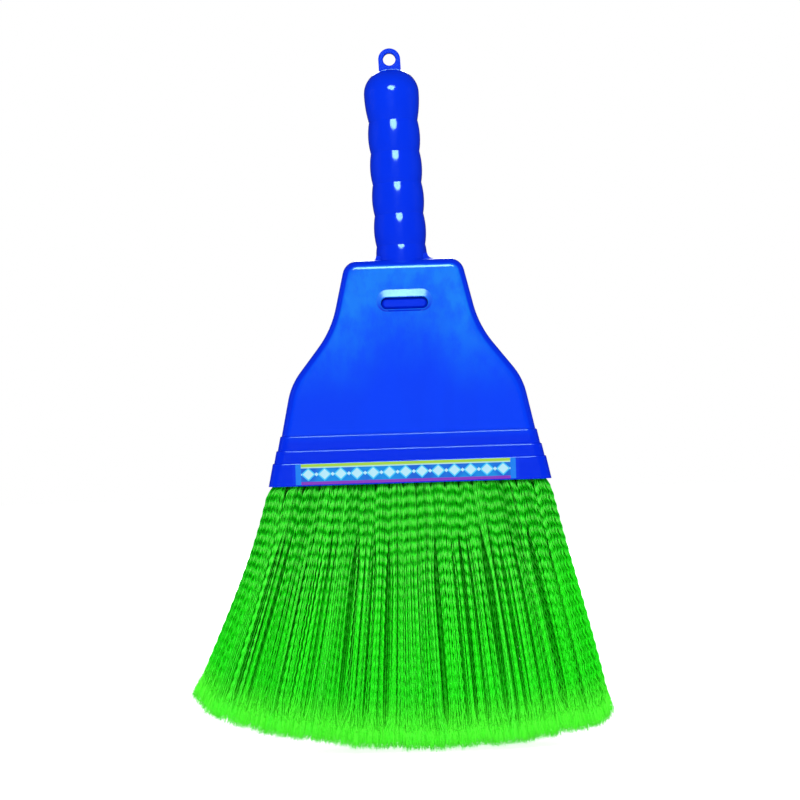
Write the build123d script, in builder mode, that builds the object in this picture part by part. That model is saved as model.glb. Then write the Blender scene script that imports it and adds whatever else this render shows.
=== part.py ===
from build123d import *
import math
import os

# Hand broom: a ribbed hollow handle with a hanging eye, a flared hollow hood, and a fan of bristles.
# Millimetres. +Z is up, the front faces -Y, and the broom stands upright on its bristle tips.
# The origin lies on the ground under the middle of the whole broom's box.

# Hood, seen from the front: a shoulder, a waist, a hip and a wide mouth
HOOD_HEIGHT = 132.5
SHOULDER_WIDTH = 69.0
WAIST_WIDTH = 88.0
WAIST_DROP = 40.5
HIP_WIDTH = 138.0
HIP_DROP = 72.5
MOUTH_WIDTH = 163.5
SHOULDER_ROUND = 9.0
WAIST_ROUND = 60.0
HIP_ROUND = 40.0

# Hood, from front to back
HOOD_TOP_DEPTH = 34.0
HOOD_MOUTH_DEPTH = 38.8
HOOD_EDGE_ROUND = 5.5
HOOD_WALL = 2.3
POCKET_WALL = 1.8

# Three stepped bands round the hem, each prouder than the one above it
BAND_DROPS = (102.9, 111.5, 118.9)
BAND_STEP = 0.75
BAND_CORNER = 6.0
BAND_EDGE = 0.7

# Latch slot in the front of the hood, and the raised lip round it
SLOT_DROP = 26.0
SLOT_WIDTH = 28.0
SLOT_HEIGHT = 7.0
LIP_WIDTH = 34.5
LIP_HEIGHT = 14.0
LIP_RISE = 0.7
LIP_BRIM = 0.5
LIP_LIFT = 1.7
LATCH_SINK = 1.5
LATCH_THICKNESS = 3.2
LATCH_BEVEL = 1.4

# Handle, which leans a little to the left out of the hood
HANDLE_LEAN = 1.8
HANDLE_SHIFT = 0.6
GRIP_LENGTH = 114.9
GRIP_BASE_RADIUS = 15.3
CREASE_RADIUS = 14.6
BULGE_RADIUS = 15.6
CREASE_HEIGHT = 9.1
BULGE_PITCH = 18.65
BULGE_COUNT = 4
KNOB_RADIUS = 16.5
KNOB_ROUND = 14.6
HANDLE_WALL = 2.4
DOME_WALL = 4.0

# Tang, the lower end of the handle that plugs into the hood
SEAT_DEPTH = 3.0
TANG_RADIUS = 13.2
TANG_LENGTH = 46.0
SOCKET_WALL = 2.2
COVE_SIZE = 3.4
COVE_DEPTH = 18.0

# Hanging eye on top of the handle
EYE_WIDTH = 13.2
EYE_THICKNESS = 5.0
EYE_HOLE_DIAMETER = 7.5
EYE_HOLE_HEIGHT = 6.0
EYE_EDGE = 0.5

# Bristle block in the mouth of the hood
BLOCK_HEIGHT = 16.0
SLICE_HEIGHT = 3.0
BLOCK_RECESS = 1.5
BLOCK_CORNER = 1.5
BEAD_RADIUS = 0.9
BEAD_LENGTH = 118.0

# Tufts, in rows from front to back, each folded over a wire anchor in its own hole
ROW_COUNT = 5
ROW_PITCH = 6.6
TUFT_COUNT = 19
TUFT_PITCH = 8.05
ROOT_RADIUS = 2.4
ROOT_LENGTH = 11.0
ANCHOR_LENGTH = 5.8
ANCHOR_THICKNESS = 0.5
ANCHOR_HEIGHT = 2.0
ANCHOR_COVER = 1.2

# Bristle fan below the hood, which reaches further to the left than to the right
BRISTLE_SHOW = 160.0
LEFT_REACH = 133.5
RIGHT_REACH = 116.0
TIP_DEPTH = 56.0
LEFT_TIP_RISE = 27.0
RIGHT_TIP_RISE = 15.0
LEFT_RISE_POWER = 1.8
RIGHT_RISE_POWER = 2.6
TIP_CUT = 0.5
TIP_RAGGED = 1.4
STRANDS_PER_TUFT = 5
STRAND_SIDES = 3
STRAND_RADIUS = 0.8
ROOT_SPREAD = 1.9
TIP_SPREAD = 4.2
STRAND_TURN = 137.5

# How far along a strand its bends are, and how much of the fan's flare is reached there
STATION_SHARES = (0.0, 0.3, 0.65, 1.0)
LEFT_FLARE_SHARES = (0.0, 0.28, 0.62, 1.0)
RIGHT_FLARE_SHARES = (0.0, 0.43, 0.78, 1.0)
DEPTH_FLARE_SHARES = (0.0, 0.35, 0.7, 1.0)

# Sticker on the lowest band
LABEL_WIDTH = 134.0
LABEL_HEIGHT = 12.2
LABEL_THICKNESS = 0.3
LABEL_SHIFT = -2.4
LABEL_CORNER = 0.6

# Clearances between pieces, and the length by which a cut runs past its piece
FIT = 0.2
HOLE_FIT = 0.1
OVERRUN = 20.0

# Heights and places that follow from the sizes above
MOUTH_Z = BRISTLE_SHOW
HOOD_TOP_Z = MOUTH_Z + HOOD_HEIGHT
SLICE_Z = MOUTH_Z + BLOCK_RECESS
BLOCK_Z = SLICE_Z + SLICE_HEIGHT
BLOCK_TOP_Z = BLOCK_Z + BLOCK_HEIGHT
HOOD_X = (LEFT_REACH - RIGHT_REACH) / 2
FLARE_SLOPE = (MOUTH_WIDTH - HIP_WIDTH) / 2 / (HOOD_HEIGHT - HIP_DROP)
POCKET_DEPTH = HOOD_MOUTH_DEPTH - 2 * POCKET_WALL
LEAN_SINE = math.sin(math.radians(HANDLE_LEAN))
LEAN_COSINE = math.cos(math.radians(HANDLE_LEAN))
LABEL_FACE_Y = -(HOOD_MOUTH_DEPTH / 2 + len(BAND_DROPS) * BAND_STEP)

front_plane = Plane(origin=(HOOD_X, 0, HOOD_TOP_Z), x_dir=(1, 0, 0), z_dir=(0, -1, 0))
side_plane = Plane(origin=(HOOD_X, 0, HOOD_TOP_Z), x_dir=(0, 1, 0), z_dir=(1, 0, 0))
handle_foot = (HOOD_X - HANDLE_SHIFT, 0, HOOD_TOP_Z)
handle_direction = (-LEAN_SINE, 0, LEAN_COSINE)
handle_axis = Axis(handle_foot, handle_direction)
handle_plane = Plane(origin=handle_foot, x_dir=(LEAN_COSINE, 0, LEAN_SINE), z_dir=(0, -1, 0))

os.makedirs("parts", exist_ok=True)


def depth_at(drop):
    """Depth of the hood from front to back, at a drop below its top."""
    return HOOD_TOP_DEPTH + (HOOD_MOUTH_DEPTH - HOOD_TOP_DEPTH) * drop / HOOD_HEIGHT


def width_at(drop):
    """Width of the hood between its hip and its mouth, at a drop below its top."""
    return MOUTH_WIDTH - 2 * FLARE_SLOPE * (HOOD_HEIGHT - drop)


def hood_outline(inset, bottom_drop):
    """Front view of the hood from its top down to a drop, drawn in by an inset."""
    with BuildSketch(front_plane, mode=Mode.PRIVATE) as outline:
        with BuildLine():
            FilletPolyline(
                (0, 0),
                (SHOULDER_WIDTH / 2, 0),
                (WAIST_WIDTH / 2, -WAIST_DROP),
                (HIP_WIDTH / 2, -HIP_DROP),
                (width_at(bottom_drop) / 2, -bottom_drop),
                radius=[SHOULDER_ROUND, WAIST_ROUND, HIP_ROUND],
            )
            Line((width_at(bottom_drop) / 2, -bottom_drop), (0, -bottom_drop))
            mirror(about=Plane.YZ)
        make_face()
        if inset:
            offset(amount=-inset, kind=Kind.INTERSECTION)
    return outline.sketch


def hood_wedge(inset):
    """Side view of the hood, from its top to past its mouth, drawn in by an inset."""
    low = HOOD_HEIGHT + OVERRUN
    with BuildSketch(side_plane, mode=Mode.PRIVATE) as wedge:
        with BuildLine():
            Polyline(
                (0, 0),
                (HOOD_TOP_DEPTH / 2 - inset, 0),
                (depth_at(low) / 2 - inset, -low),
                (0, -low),
            )
            mirror(about=Plane.YZ)
        make_face()
    return wedge.sketch


def long_rims(body):
    """Edges round the front and back faces of a hood body, all but those along its mouth."""
    faces = body.faces().sort_by(Axis.Y)
    rims = faces[0].edges() + faces[-1].edges()
    lowest = rims.sort_by(Axis.Z)[0].center().Z
    return [rim for rim in rims if rim.center().Z > lowest + FIT]


def bead_section(radius):
    """End view of the two snap beads that run along the block's front and back."""
    with BuildSketch(side_plane, mode=Mode.PRIVATE) as section:
        for side in (-1, 1):
            with Locations((side * (POCKET_DEPTH / 2 - FIT), BLOCK_Z + BLOCK_HEIGHT / 2 - HOOD_TOP_Z)):
                Circle(radius)
    return section.sketch


def tuft_offsets(count):
    """Places of the tufts of one row along the hood, evenly spaced about its middle."""
    return [(tuft - (count - 1) / 2) * TUFT_PITCH for tuft in range(count)]


# Handle: knob, grip with bulges between narrow creases, tang, latch and hanging eye
crease_heights = [CREASE_HEIGHT + step * BULGE_PITCH for step in range(BULGE_COUNT + 1)]
knob_height = GRIP_LENGTH - KNOB_ROUND
bore_radius = CREASE_RADIUS - HANDLE_WALL
tang_bore_radius = TANG_RADIUS - HANDLE_WALL
bore_top = GRIP_LENGTH - DOME_WALL
latch_face_y = LATCH_SINK - depth_at(SLOT_DROP) / 2

# The eye is a flat tab with a round top, rooted in the dome
with BuildPart() as eye_tab:
    with BuildSketch(handle_plane):
        with Locations((0, GRIP_LENGTH + EYE_HOLE_HEIGHT)):
            Circle(EYE_WIDTH / 2)
            Rectangle(EYE_WIDTH, EYE_HOLE_HEIGHT + DOME_WALL, align=(Align.CENTER, Align.MAX))
            Circle(EYE_HOLE_DIAMETER / 2, mode=Mode.SUBTRACT)
    extrude(amount=EYE_THICKNESS / 2, both=True)
    chamfer(eye_tab.faces().filter_by(Axis.Y).edges(), EYE_EDGE)

# The latch is a flat nose on the front of the tang, which snaps into the hood's slot
with BuildPart() as latch:
    with BuildSketch(front_plane.offset(-latch_face_y)):
        with Locations((0, -SLOT_DROP)):
            SlotOverall(SLOT_WIDTH - 2 * FIT, SLOT_HEIGHT - 2 * FIT)
    extrude(amount=-LATCH_THICKNESS)
    front_rim = latch.faces().sort_by(Axis.Y)[0].edges()
    chamfer(front_rim.sort_by(Axis.Z)[-1], LATCH_BEVEL)

with BuildPart() as handle:
    with BuildSketch(handle_plane):
        with BuildLine():
            Polyline(
                (tang_bore_radius, -TANG_LENGTH),
                (TANG_RADIUS, -TANG_LENGTH),
                (TANG_RADIUS, -SEAT_DEPTH),
                (GRIP_BASE_RADIUS, -SEAT_DEPTH),
                (GRIP_BASE_RADIUS, 0),
            )
            Spline(
                (GRIP_BASE_RADIUS, 0),
                (CREASE_RADIUS, CREASE_HEIGHT),
                tangents=[(0, 1), (-1, 4)],
            )
            for low, high in zip(crease_heights, crease_heights[1:]):
                ThreePointArc(
                    (CREASE_RADIUS, low),
                    (BULGE_RADIUS, (low + high) / 2),
                    (CREASE_RADIUS, high),
                )
            Spline(
                (CREASE_RADIUS, crease_heights[-1]),
                (KNOB_RADIUS, knob_height),
                tangents=[(1, 4), (0, 1)],
            )
            RadiusArc((KNOB_RADIUS, knob_height), (KNOB_RADIUS - KNOB_ROUND, GRIP_LENGTH), -KNOB_ROUND)
            Polyline(
                (KNOB_RADIUS - KNOB_ROUND, GRIP_LENGTH),
                (0, GRIP_LENGTH),
                (0, bore_top),
            )
            RadiusArc((0, bore_top), (bore_radius, bore_top - bore_radius), bore_radius)
            Polyline(
                (bore_radius, bore_top - bore_radius),
                (bore_radius, 0),
                (tang_bore_radius, bore_radius - TANG_RADIUS),
                (tang_bore_radius, -TANG_LENGTH),
            )
        make_face()
    revolve(axis=handle_axis)
    add(eye_tab.part)
    add(latch.part)

handle.part.label = "handle"
export_step(handle.part, "parts/handle.step")


# Hood: bell body, hem bands, handle socket, cavity, block pocket and latch slot
with BuildPart() as hood_cavity:
    extrude(hood_outline(HOOD_WALL, HOOD_HEIGHT + OVERRUN), amount=HOOD_MOUTH_DEPTH, both=True)
    extrude(hood_wedge(HOOD_WALL), amount=MOUTH_WIDTH, both=True, mode=Mode.INTERSECT)
    fillet(long_rims(hood_cavity), HOOD_EDGE_ROUND - HOOD_WALL)

with BuildPart() as block_pocket:
    extrude(hood_outline(POCKET_WALL, HOOD_HEIGHT + OVERRUN), amount=POCKET_DEPTH / 2, both=True)
    split(bisect_by=Plane.XY.offset(BLOCK_TOP_Z), keep=Keep.BOTTOM)
    fillet(block_pocket.edges().filter_by(lambda edge: edge.center().Y), BLOCK_CORNER)
    extrude(bead_section(BEAD_RADIUS + FIT), amount=BEAD_LENGTH / 2 + FIT, both=True)

# Stepped bands round the hem, each a slightly flared ring with a rounded top edge
hem_bands = []
for band, drop in enumerate(BAND_DROPS, start=1):
    with BuildPart() as hem_band:
        for level in (drop, HOOD_HEIGHT):
            with BuildSketch(Plane((HOOD_X, 0, HOOD_TOP_Z - level))):
                RectangleRounded(
                    width_at(level) + 2 * band * BAND_STEP,
                    HOOD_MOUTH_DEPTH + 2 * band * BAND_STEP,
                    BAND_CORNER,
                )
        loft()
        fillet(hem_band.faces().sort_by(Axis.Z)[-1].edges(), BAND_EDGE)
    hem_bands.append(hem_band.part)

# The raised lip, which slopes up out of the hood's front to the brim of the latch slot
lip_root = depth_at(SLOT_DROP - LIP_HEIGHT) / 2
with BuildPart() as slot_lip:
    with BuildSketch(front_plane.offset(lip_root)) as lip_foot:
        with Locations((0, LIP_LIFT - SLOT_DROP)):
            SlotOverall(LIP_WIDTH, LIP_HEIGHT)
    with BuildSketch(front_plane.offset(depth_at(SLOT_DROP) / 2 + LIP_RISE)):
        with Locations((0, -SLOT_DROP)):
            SlotOverall(SLOT_WIDTH + 2 * LIP_BRIM, SLOT_HEIGHT + 2 * LIP_BRIM)
    loft()
    extrude(lip_foot.sketch, amount=-HOOD_WALL / 2)

socket_top = Plane(handle_foot, z_dir=handle_direction)

with BuildPart() as hood:
    extrude(hood_outline(0, HOOD_HEIGHT), amount=HOOD_MOUTH_DEPTH, both=True)
    extrude(hood_wedge(0), amount=MOUTH_WIDTH, both=True, mode=Mode.INTERSECT)
    fillet(long_rims(hood), HOOD_EDGE_ROUND)
    add(hem_bands)
    # Coves at the left and right of the handle's foot
    with BuildSketch(handle_plane):
        for side in (-1, 1):
            with BuildLine():
                Line((0, -COVE_SIZE), (0, COVE_SIZE))
                Line((0, COVE_SIZE), (side * GRIP_BASE_RADIUS, COVE_SIZE))
                RadiusArc(
                    (side * GRIP_BASE_RADIUS, COVE_SIZE),
                    (side * (GRIP_BASE_RADIUS + COVE_SIZE), 0),
                    -side * COVE_SIZE,
                )
                Polyline(
                    (side * (GRIP_BASE_RADIUS + COVE_SIZE), 0),
                    (side * (GRIP_BASE_RADIUS + COVE_SIZE), -COVE_SIZE),
                    (0, -COVE_SIZE),
                )
            make_face()
    extrude(amount=COVE_DEPTH / 2, both=True)
    add(slot_lip.part)
    # Cavity with the socket tube left standing in it
    add(hood_cavity.part, mode=Mode.SUBTRACT)
    with BuildSketch(socket_top):
        Circle(TANG_RADIUS + FIT + SOCKET_WALL)
    extrude(amount=-TANG_LENGTH)
    with BuildSketch(socket_top):
        Circle(TANG_RADIUS + FIT)
    extrude(amount=-(TANG_LENGTH + OVERRUN), mode=Mode.SUBTRACT)
    with BuildSketch(socket_top.offset(-SEAT_DEPTH)):
        Circle(GRIP_BASE_RADIUS + FIT)
    extrude(amount=SEAT_DEPTH + OVERRUN, mode=Mode.SUBTRACT)
    with BuildSketch(front_plane.offset(-(latch_face_y + LATCH_THICKNESS + FIT))):
        with Locations((0, -SLOT_DROP)):
            SlotOverall(SLOT_WIDTH, SLOT_HEIGHT)
    extrude(amount=OVERRUN, mode=Mode.SUBTRACT)
    add(block_pocket.part, mode=Mode.SUBTRACT)

hood.part.label = "hood"
export_step(hood.part, "parts/hood.step")


# Bristle block, with a hole for each tuft and a snap bead along its front and back
row_offsets = [(row - (ROW_COUNT - 1) / 2) * ROW_PITCH for row in range(ROW_COUNT)]
tuft_rows = [tuft_offsets(TUFT_COUNT - row % 2) for row in range(ROW_COUNT)]
tuft_span = tuft_rows[0][-1]
block_depth = POCKET_DEPTH - 2 * FIT
slice_depth = block_depth / ROW_COUNT
anchor_z = BLOCK_Z + ROOT_LENGTH - ANCHOR_COVER - ANCHOR_HEIGHT
hole_places = [
    (HOOD_X + along, across) for tufts, across in zip(tuft_rows, row_offsets) for along in tufts
]

with BuildPart() as tuft_anchors:
    with BuildSketch(Plane.XY.offset(anchor_z)):
        with Locations(hole_places):
            Rectangle(ANCHOR_LENGTH, ANCHOR_THICKNESS)
    extrude(amount=ANCHOR_HEIGHT)

tuft_anchors.part.label = "tuft_anchors"
export_step(tuft_anchors.part, "parts/tuft_anchors.step")

with BuildPart() as backing:
    extrude(hood_outline(POCKET_WALL + FIT, HOOD_HEIGHT + OVERRUN), amount=block_depth / 2, both=True)
    split(bisect_by=Plane.XY.offset(BLOCK_TOP_Z), keep=Keep.BOTTOM)
    fillet(backing.edges().filter_by(lambda edge: edge.center().Y), BLOCK_CORNER)
    split(bisect_by=Plane.XY.offset(SLICE_Z), keep=Keep.TOP)

with BuildPart() as bristle_block:
    add(backing.part)
    split(bisect_by=Plane.XY.offset(BLOCK_Z), keep=Keep.TOP)
    extrude(bead_section(BEAD_RADIUS), amount=BEAD_LENGTH / 2, both=True)
    with BuildSketch(Plane.XY.offset(BLOCK_Z)):
        with Locations(hole_places):
            Circle(ROOT_RADIUS + HOLE_FIT)
    extrude(amount=ROOT_LENGTH + HOLE_FIT, mode=Mode.SUBTRACT)
    add(tuft_anchors.part, mode=Mode.SUBTRACT)

bristle_block.part.label = "bristle_block"
export_step(bristle_block.part, "parts/bristle_block.step")


def strand_places(along_share, across_share, turn):
    """Places of one strand at its stations, for a tuft at shares of the fan's half width and depth."""
    reach = LEFT_REACH if along_share < 0 else RIGHT_REACH
    flares = LEFT_FLARE_SHARES if along_share < 0 else RIGHT_FLARE_SHARES
    root_along = along_share * (TUFT_COUNT - 1) / 2 * TUFT_PITCH
    root_across = across_share * (ROW_COUNT - 1) / 2 * ROW_PITCH
    tip_along = along_share * (reach - TIP_SPREAD - STRAND_RADIUS)
    tip_across = across_share * (TIP_DEPTH / 2 - TIP_SPREAD - STRAND_RADIUS)
    tip_z = max(tip_rise(tip_along + TIP_SPREAD * math.cos(turn)) + ragged(turn) - TIP_CUT, 0)
    root_z = SLICE_Z + SLICE_HEIGHT / 2
    places = []
    for station, flare, depth_flare in zip(STATION_SHARES, flares, DEPTH_FLARE_SHARES):
        spread = ROOT_SPREAD + (TIP_SPREAD - ROOT_SPREAD) * station
        along = root_along + (tip_along - root_along) * flare + spread * math.cos(turn)
        across = root_across + (tip_across - root_across) * depth_flare + spread * math.sin(turn)
        places.append((HOOD_X + along, across, root_z + (tip_z - root_z) * station))
    return places


def tip_rise(along):
    """How far the arc of the tips has risen, at a distance along from the hood's middle."""
    if along < 0:
        return LEFT_TIP_RISE * (-along / LEFT_REACH) ** LEFT_RISE_POWER
    return RIGHT_TIP_RISE * (along / RIGHT_REACH) ** RIGHT_RISE_POWER


def ragged(turn):
    """Uneven extra shortness of a strand, from nothing to the full raggedness."""
    return TIP_RAGGED * (1 + math.sin(turn * turn)) / 2


# Bristle rows: strands fused to the slice of the backing that carries them
for row, across in enumerate(row_offsets):
    slice_y = (row - (ROW_COUNT - 1) / 2) * slice_depth
    with BuildPart() as bristle_row:
        add(backing.part)
        split(bisect_by=Plane.XY.offset(BLOCK_Z), keep=Keep.BOTTOM)
        split(bisect_by=Plane.XZ.offset(slice_depth / 2 - slice_y), keep=Keep.BOTTOM)
        split(bisect_by=Plane.XZ.offset(-slice_depth / 2 - slice_y), keep=Keep.TOP)
        with BuildSketch(Plane.XY.offset(BLOCK_Z - SLICE_HEIGHT / 2)):
            with Locations([(HOOD_X + along, across) for along in tuft_rows[row]]):
                Circle(ROOT_RADIUS)
        extrude(amount=SLICE_HEIGHT / 2 + ROOT_LENGTH)
        spans = []
        for tuft, along in enumerate(tuft_rows[row]):
            for strand in range(STRANDS_PER_TUFT):
                turn = STRAND_TURN * (tuft + row * TUFT_COUNT) + 360 / STRANDS_PER_TUFT * strand
                places = strand_places(along / tuft_span, across / row_offsets[-1], math.radians(turn))
                for start, end in zip(places, places[1:]):
                    with BuildSketch(Plane(start)):
                        RegularPolygon(STRAND_RADIUS, STRAND_SIDES)
                    run = Vector(end) - Vector(start)
                    spans.append(extrude(amount=run.length, dir=run, mode=Mode.PRIVATE))
        add(spans, clean=False)
        with BuildSketch(Plane.XY.offset(anchor_z)):
            with Locations([(HOOD_X + along, across) for along in tuft_rows[row]]):
                Rectangle(ANCHOR_LENGTH, ANCHOR_THICKNESS)
        extrude(amount=ANCHOR_HEIGHT, mode=Mode.SUBTRACT, clean=False)
    bristle_row.part.label = f"bristle_row_{row + 1}"
    export_step(bristle_row.part, f"parts/bristle_row_{row + 1}.step")


# Label: a plain sticker on the lowest band
with BuildPart() as label:
    with BuildSketch(front_plane.offset(-LABEL_FACE_Y)):
        with Locations((LABEL_SHIFT, (BAND_DROPS[-1] + HOOD_HEIGHT) / -2)):
            RectangleRounded(LABEL_WIDTH, LABEL_HEIGHT, LABEL_CORNER)
    extrude(amount=LABEL_THICKNESS)

label.part.label = "label"
export_step(label.part, "parts/label.step")
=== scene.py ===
"""A hand broom dressed for a picture: glossy blue moulding, a label and crimped bristles."""
import math

import bmesh
import bpy
import numpy as np
from bpy.props import FloatProperty, FloatVectorProperty, IntProperty, PointerProperty
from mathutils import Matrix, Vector


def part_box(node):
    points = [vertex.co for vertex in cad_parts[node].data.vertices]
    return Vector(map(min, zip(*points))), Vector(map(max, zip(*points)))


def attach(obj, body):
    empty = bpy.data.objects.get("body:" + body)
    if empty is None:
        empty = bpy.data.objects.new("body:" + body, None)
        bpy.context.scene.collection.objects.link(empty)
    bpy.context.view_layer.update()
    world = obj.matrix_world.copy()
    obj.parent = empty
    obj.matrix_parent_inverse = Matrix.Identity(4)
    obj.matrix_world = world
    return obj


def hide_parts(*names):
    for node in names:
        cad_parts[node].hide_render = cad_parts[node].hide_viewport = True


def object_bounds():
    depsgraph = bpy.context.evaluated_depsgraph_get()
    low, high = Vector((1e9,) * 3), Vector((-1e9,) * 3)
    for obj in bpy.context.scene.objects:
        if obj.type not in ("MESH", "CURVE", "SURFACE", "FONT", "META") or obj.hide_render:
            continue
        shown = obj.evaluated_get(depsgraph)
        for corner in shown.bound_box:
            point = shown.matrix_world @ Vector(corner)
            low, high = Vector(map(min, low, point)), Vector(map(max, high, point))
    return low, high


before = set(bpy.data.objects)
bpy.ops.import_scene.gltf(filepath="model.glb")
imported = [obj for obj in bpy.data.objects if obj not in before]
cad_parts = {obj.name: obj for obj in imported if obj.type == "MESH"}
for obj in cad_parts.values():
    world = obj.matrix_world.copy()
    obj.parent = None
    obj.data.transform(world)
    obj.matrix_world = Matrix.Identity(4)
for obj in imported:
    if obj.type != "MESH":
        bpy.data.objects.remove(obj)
CAD_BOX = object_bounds()

bl_info = {
    "name": "Hand Broom",
    "version": (1, 0, 0),
    "blender": (4, 5, 0),
    "location": "View3D > Sidebar > Hand Broom",
    "description": "Dresses the parts of a moulded hand broom and lights it for a picture",
    "category": "Object",
}

MM = 0.001
BODY = "root"


def middle(low, high):
    """The point halfway between two corners."""
    return (Vector(low) + Vector(high)) / 2


HOOD_LOW, HOOD_HIGH = (Vector(corner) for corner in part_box("hood"))
BLOCK_LOW = Vector(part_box("bristle_block")[0])
LABEL_LOW, LABEL_HIGH = (Vector(corner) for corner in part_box("label"))
ROW_NAMES = sorted(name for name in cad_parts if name.startswith("bristle_row_"))
HOOD_MIDDLE = middle(HOOD_LOW, HOOD_HIGH)


class Signal:
    """One output of a shader node. Arithmetic on it adds Math nodes beside that node."""

    def __init__(self, nodes, node, output):
        self.nodes = nodes
        self.node = node
        self.output = output

    @property
    def socket(self):
        """The socket by which the signal leaves its node."""
        return self.node.outputs[self.output]

    def out(self, output):
        """Another output of the same node."""
        return Signal(self.nodes, self.node, output)

    def math(self, operation, *values):
        """A Math node with these values, in which this signal may stand anywhere."""
        return self.nodes.node("ShaderNodeMath", {"operation": operation}, dict(enumerate(values)))

    def __add__(self, other):
        return self.math("ADD", self, other)

    def __radd__(self, other):
        return self.math("ADD", other, self)

    def __sub__(self, other):
        return self.math("SUBTRACT", self, other)

    def __rsub__(self, other):
        return self.math("SUBTRACT", other, self)

    def __mul__(self, other):
        return self.math("MULTIPLY", self, other)

    def __rmul__(self, other):
        return self.math("MULTIPLY", other, self)

    def __truediv__(self, other):
        return self.math("DIVIDE", self, other)

    def __rtruediv__(self, other):
        return self.math("DIVIDE", other, self)

    def __abs__(self):
        return self.math("ABSOLUTE", self)

    def wrap(self, span):
        """The remainder after dividing by a span, from zero to the span."""
        return self.math("FLOORED_MODULO", self, span)

    def larger(self, other):
        """The larger of this and another value."""
        return self.math("MAXIMUM", self, other)

    def ramp(self, start, end, low=0.0, high=1.0):
        """Goes smoothly from low to high while this signal goes from start to end."""
        return self.nodes.node(
            "ShaderNodeMapRange",
            {"interpolation_type": "SMOOTHSTEP"},
            {"Value": self, "From Min": start, "From Max": end, "To Min": low, "To Max": high},
        )

    def beyond(self, limit, edge):
        """0 where this signal is under a limit and 1 above it, with a soft edge to either side."""
        return self.ramp(limit - edge, limit + edge)

    def within(self, limit, edge):
        """1 where this signal is under a limit and 0 above it, with a soft edge to either side."""
        return 1 - self.beyond(limit, edge)


class Nodes:
    """The nodes of a material or a world."""

    def __init__(self, tree):
        self.tree = tree

    def node(self, kind, settings=None, values=None, output=0):
        """Adds a node, sets it up, and gives its sockets values or links."""
        node = self.tree.nodes.new(kind)
        for name, setting in (settings or {}).items():
            if name == "stops":
                self.set_stops(node.color_ramp, setting)
            else:
                setattr(node, name, setting)
        for name, value in (values or {}).items():
            self.feed(node.inputs[name], value)
        return Signal(self, node, output)

    def feed(self, socket, value):
        """Links a signal to a socket, or sets the socket to a value."""
        if isinstance(value, Signal):
            self.tree.links.new(value.socket, socket)
        else:
            socket.default_value = value

    def set_stops(self, color_ramp, stops):
        """Gives a ramp these stops, each a place and a colour."""
        while len(color_ramp.elements) < len(stops):
            color_ramp.elements.new(1.0)
        for element, (place, colour) in zip(color_ramp.elements, stops):
            element.position = place
            element.color = (*colour, 1.0)


class Finish(Nodes):
    """A material of the broom, and what its nodes are often used for."""

    def __init__(self, name):
        self.material = bpy.data.materials.new(name)
        self.material.use_nodes = True
        super().__init__(self.material.node_tree)
        self.shader = self.tree.nodes["Principled BSDF"]

    def surface(self, **values):
        """Feeds the shader's own sockets, named in lower case with underscores."""
        names = {socket.name.lower().replace(" ", "_"): socket for socket in self.shader.inputs}
        for name, value in values.items():
            self.feed(names[name], value)

    def millimetres(self, stretch=(1.0, 1.0, 1.0)):
        """Place on the object in millimetres, times a share for each axis.

        A small share draws a pattern out along its axis."""
        place = self.node("ShaderNodeTexCoord", output="Object")
        scale = tuple(share / MM for share in stretch)
        return self.node("ShaderNodeVectorMath", {"operation": "MULTIPLY"}, {0: place, 1: scale})

    def axes(self, place):
        """The X, Y and Z of a place, as numbers."""
        split = self.node("ShaderNodeSeparateXYZ", values={0: place}, output="X")
        return split, split.out("Y"), split.out("Z")

    def noise(self, place, pitch, detail=2.0, roughness=0.5, distortion=0.0):
        """Smooth noise from 0 to 1, whose lumps are about one pitch across."""
        values = {
            "Vector": place,
            "Scale": 1.0 / pitch,
            "Detail": detail,
            "Roughness": roughness,
            "Distortion": distortion,
        }
        return self.node("ShaderNodeTexNoise", {"normalize": True}, values, output="Fac")

    def mix(self, share, first, second):
        """A mix of two colours, by the share of the second."""
        return self.node(
            "ShaderNodeMix",
            {"data_type": "RGBA", "clamp_factor": True},
            {0: share, 6: self.colour(first), 7: self.colour(second)},
            output=2,
        )

    def coats(self, base, *coats):
        """A base colour under coats of paint, each a share and a colour."""
        for share, colour in coats:
            base = self.mix(share, base, colour)
        return base

    def colour(self, value):
        """A colour as a socket takes it."""
        return value if isinstance(value, Signal) else (*value, 1.0)

    def bump(self, height, depth):
        """A normal tilted by a height from 0 to 1 that stands for this depth in metres."""
        values = {"Strength": 1.0, "Distance": depth, "Height": height}
        return self.node("ShaderNodeBump", values=values)


def colour_property(name, description, default):
    """A colour that a user may change."""
    return FloatVectorProperty(
        name=name, description=description, subtype="COLOR", default=default, min=0, max=1,
    )


def length_property(name, description, default, least=0.0):
    """A length that a user may change, with its default and least value in millimetres."""
    return FloatProperty(
        name=name, description=description, unit="LENGTH", default=default * MM, min=least * MM,
    )


class PlasticSettings(bpy.types.PropertyGroup):
    """Colours and surface of the moulded parts."""

    hood_blue: colour_property(
        "Hood Blue", "Colour of the lower part of the hood", (0.0008, 0.039, 0.77),
    )
    # Painted sheen: a paler blue standing in for light falling on the upper hood.
    painted_sheen_blue: colour_property(
        "Sky Blue", "Paler colour of the upper part of the hood", (0.008, 0.165, 0.75),
    )
    # Painted shade: a deeper blue on the hem's bands.
    hem_shade_blue: colour_property("Hem Blue", "Colour of the hem's bands", (0.0007, 0.021, 0.68))
    handle_blue: colour_property("Handle Blue", "Colour of the handle", (0.0010, 0.025, 0.67))
    gloss_roughness: FloatProperty(
        name="Roughness", description="Roughness of the polished moulding", default=0.10,
        min=0, max=1,
    )
    grain_depth: length_property("Grain Depth", "Depth of the fine grain left by the mould", 0.02)
    slot_drop: length_property(
        "Slot Drop", "Distance from the hood's shoulder down to the middle of its slot", 26.0,
    )
    collar_height: length_property(
        "Collar Height", "Height of the collar round the handle above the hood's shoulder", 3.9,
    )


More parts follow.
